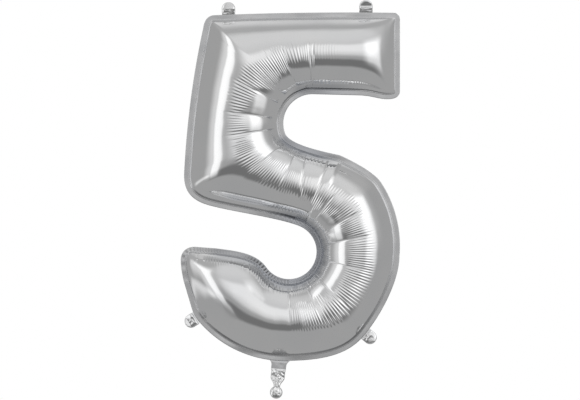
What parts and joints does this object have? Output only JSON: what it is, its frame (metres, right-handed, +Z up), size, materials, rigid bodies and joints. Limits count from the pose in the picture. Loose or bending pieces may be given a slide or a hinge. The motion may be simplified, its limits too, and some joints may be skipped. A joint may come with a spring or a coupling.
{
  "type": "foil number balloon",
  "caption": "Inflated silver foil balloon in the shape of a 5, with a flat sealed rim, hanging tabs and an inflation tail, for party decoration.",
  "frame": {"origin": "centre of the bounding box, in the plane of the seal between the two sheets", "axes": "+Z up as the figure hangs, +X to the right as the figure is read, the front sheet faces -Y"},
  "size_m": [0.5414, 0.173, 0.985],
  "materials": {
    "foil": "mirror-bright metallised film",
    "clear_film": "clear polyethylene film"
  },
  "bodies": {
    "root": {"front_panel": "foil", "rear_panel": "foil", "valve_front_sleeve": "clear_film", "valve_rear_sleeve": "clear_film"},
    "top_left_tab": {"top_left_tab_front_ply": "foil", "top_left_tab_rear_ply": "foil"},
    "top_right_tab": {"top_right_tab_front_ply": "foil", "top_right_tab_rear_ply": "foil"},
    "lower_left_tab": {"lower_left_tab_front_ply": "foil", "lower_left_tab_rear_ply": "foil"},
    "lower_right_tab": {"lower_right_tab_front_ply": "foil", "lower_right_tab_rear_ply": "foil"},
    "tail": {"tail_front_ply": "foil", "tail_rear_ply": "foil"},
    "tail_tip": {"tail_tip_front_ply": "foil", "tail_tip_rear_ply": "foil"},
    "valve_front_flap": {"valve_front_flap": "clear_film"},
    "valve_rear_flap": {"valve_rear_flap": "clear_film"}
  },
  "joints": [
    {"name": "top_left_tab_fold", "type": "hinge", "parent": "root", "child": "top_left_tab", "pos_m": [-0.15255, 0, 0.4595], "axis": [0.9993, 0, 0.0372], "range_deg": [-90, 90], "stiffness_Nm_per_rad": 0.0005},
    {"name": "top_right_tab_fold", "type": "hinge", "parent": "root", "child": "top_right_tab", "pos_m": [0.18659, 0, 0.46475], "axis": [1, 0, -0.0052], "range_deg": [-90, 90], "stiffness_Nm_per_rad": 0.0005},
    {"name": "lower_left_tab_fold", "type": "hinge", "parent": "root", "child": "lower_left_tab", "pos_m": [-0.23587, 0, -0.29468], "axis": [-0.5478, 0, 0.8366], "range_deg": [-90, 90], "stiffness_Nm_per_rad": 0.0005},
    {"name": "lower_right_tab_fold", "type": "hinge", "parent": "root", "child": "lower_right_tab", "pos_m": [0.18809, 0, -0.33431], "axis": [-0.6343, 0, -0.7731], "range_deg": [-90, 90], "stiffness_Nm_per_rad": 0.0005},
    {"name": "tail_fold", "type": "hinge", "parent": "root", "child": "tail", "pos_m": [-0.02944, 0, -0.41962], "axis": [0.9953, 0, -0.0967], "range_deg": [-90, 90], "stiffness_Nm_per_rad": 0.0005},
    {"name": "tail_tip_twist", "type": "hinge", "parent": "tail", "child": "tail_tip", "pos_m": [-0.03366, 0, -0.46302], "axis": [0.0967, 0, 0.9953], "range_deg": [-180, 180], "stiffness_Nm_per_rad": 0.0002},
    {"name": "valve_front_flap_open", "type": "hinge", "parent": "root", "child": "valve_front_flap", "pos_m": [-0.02503, -0.0003, -0.37423], "axis": [0.9953, 0, -0.0967], "range_deg": [0, 8], "stiffness_Nm_per_rad": 0.001},
    {"name": "valve_rear_flap_open", "type": "hinge", "parent": "root", "child": "valve_rear_flap", "pos_m": [-0.02503, 0.0003, -0.37423], "axis": [0.9953, 0, -0.0967], "range_deg": [-8, 0], "stiffness_Nm_per_rad": 0.001}
  ],
  "couplings": [
    {"joint": "valve_rear_flap_open", "follows": "valve_front_flap_open", "ratio": -1}
  ]
}
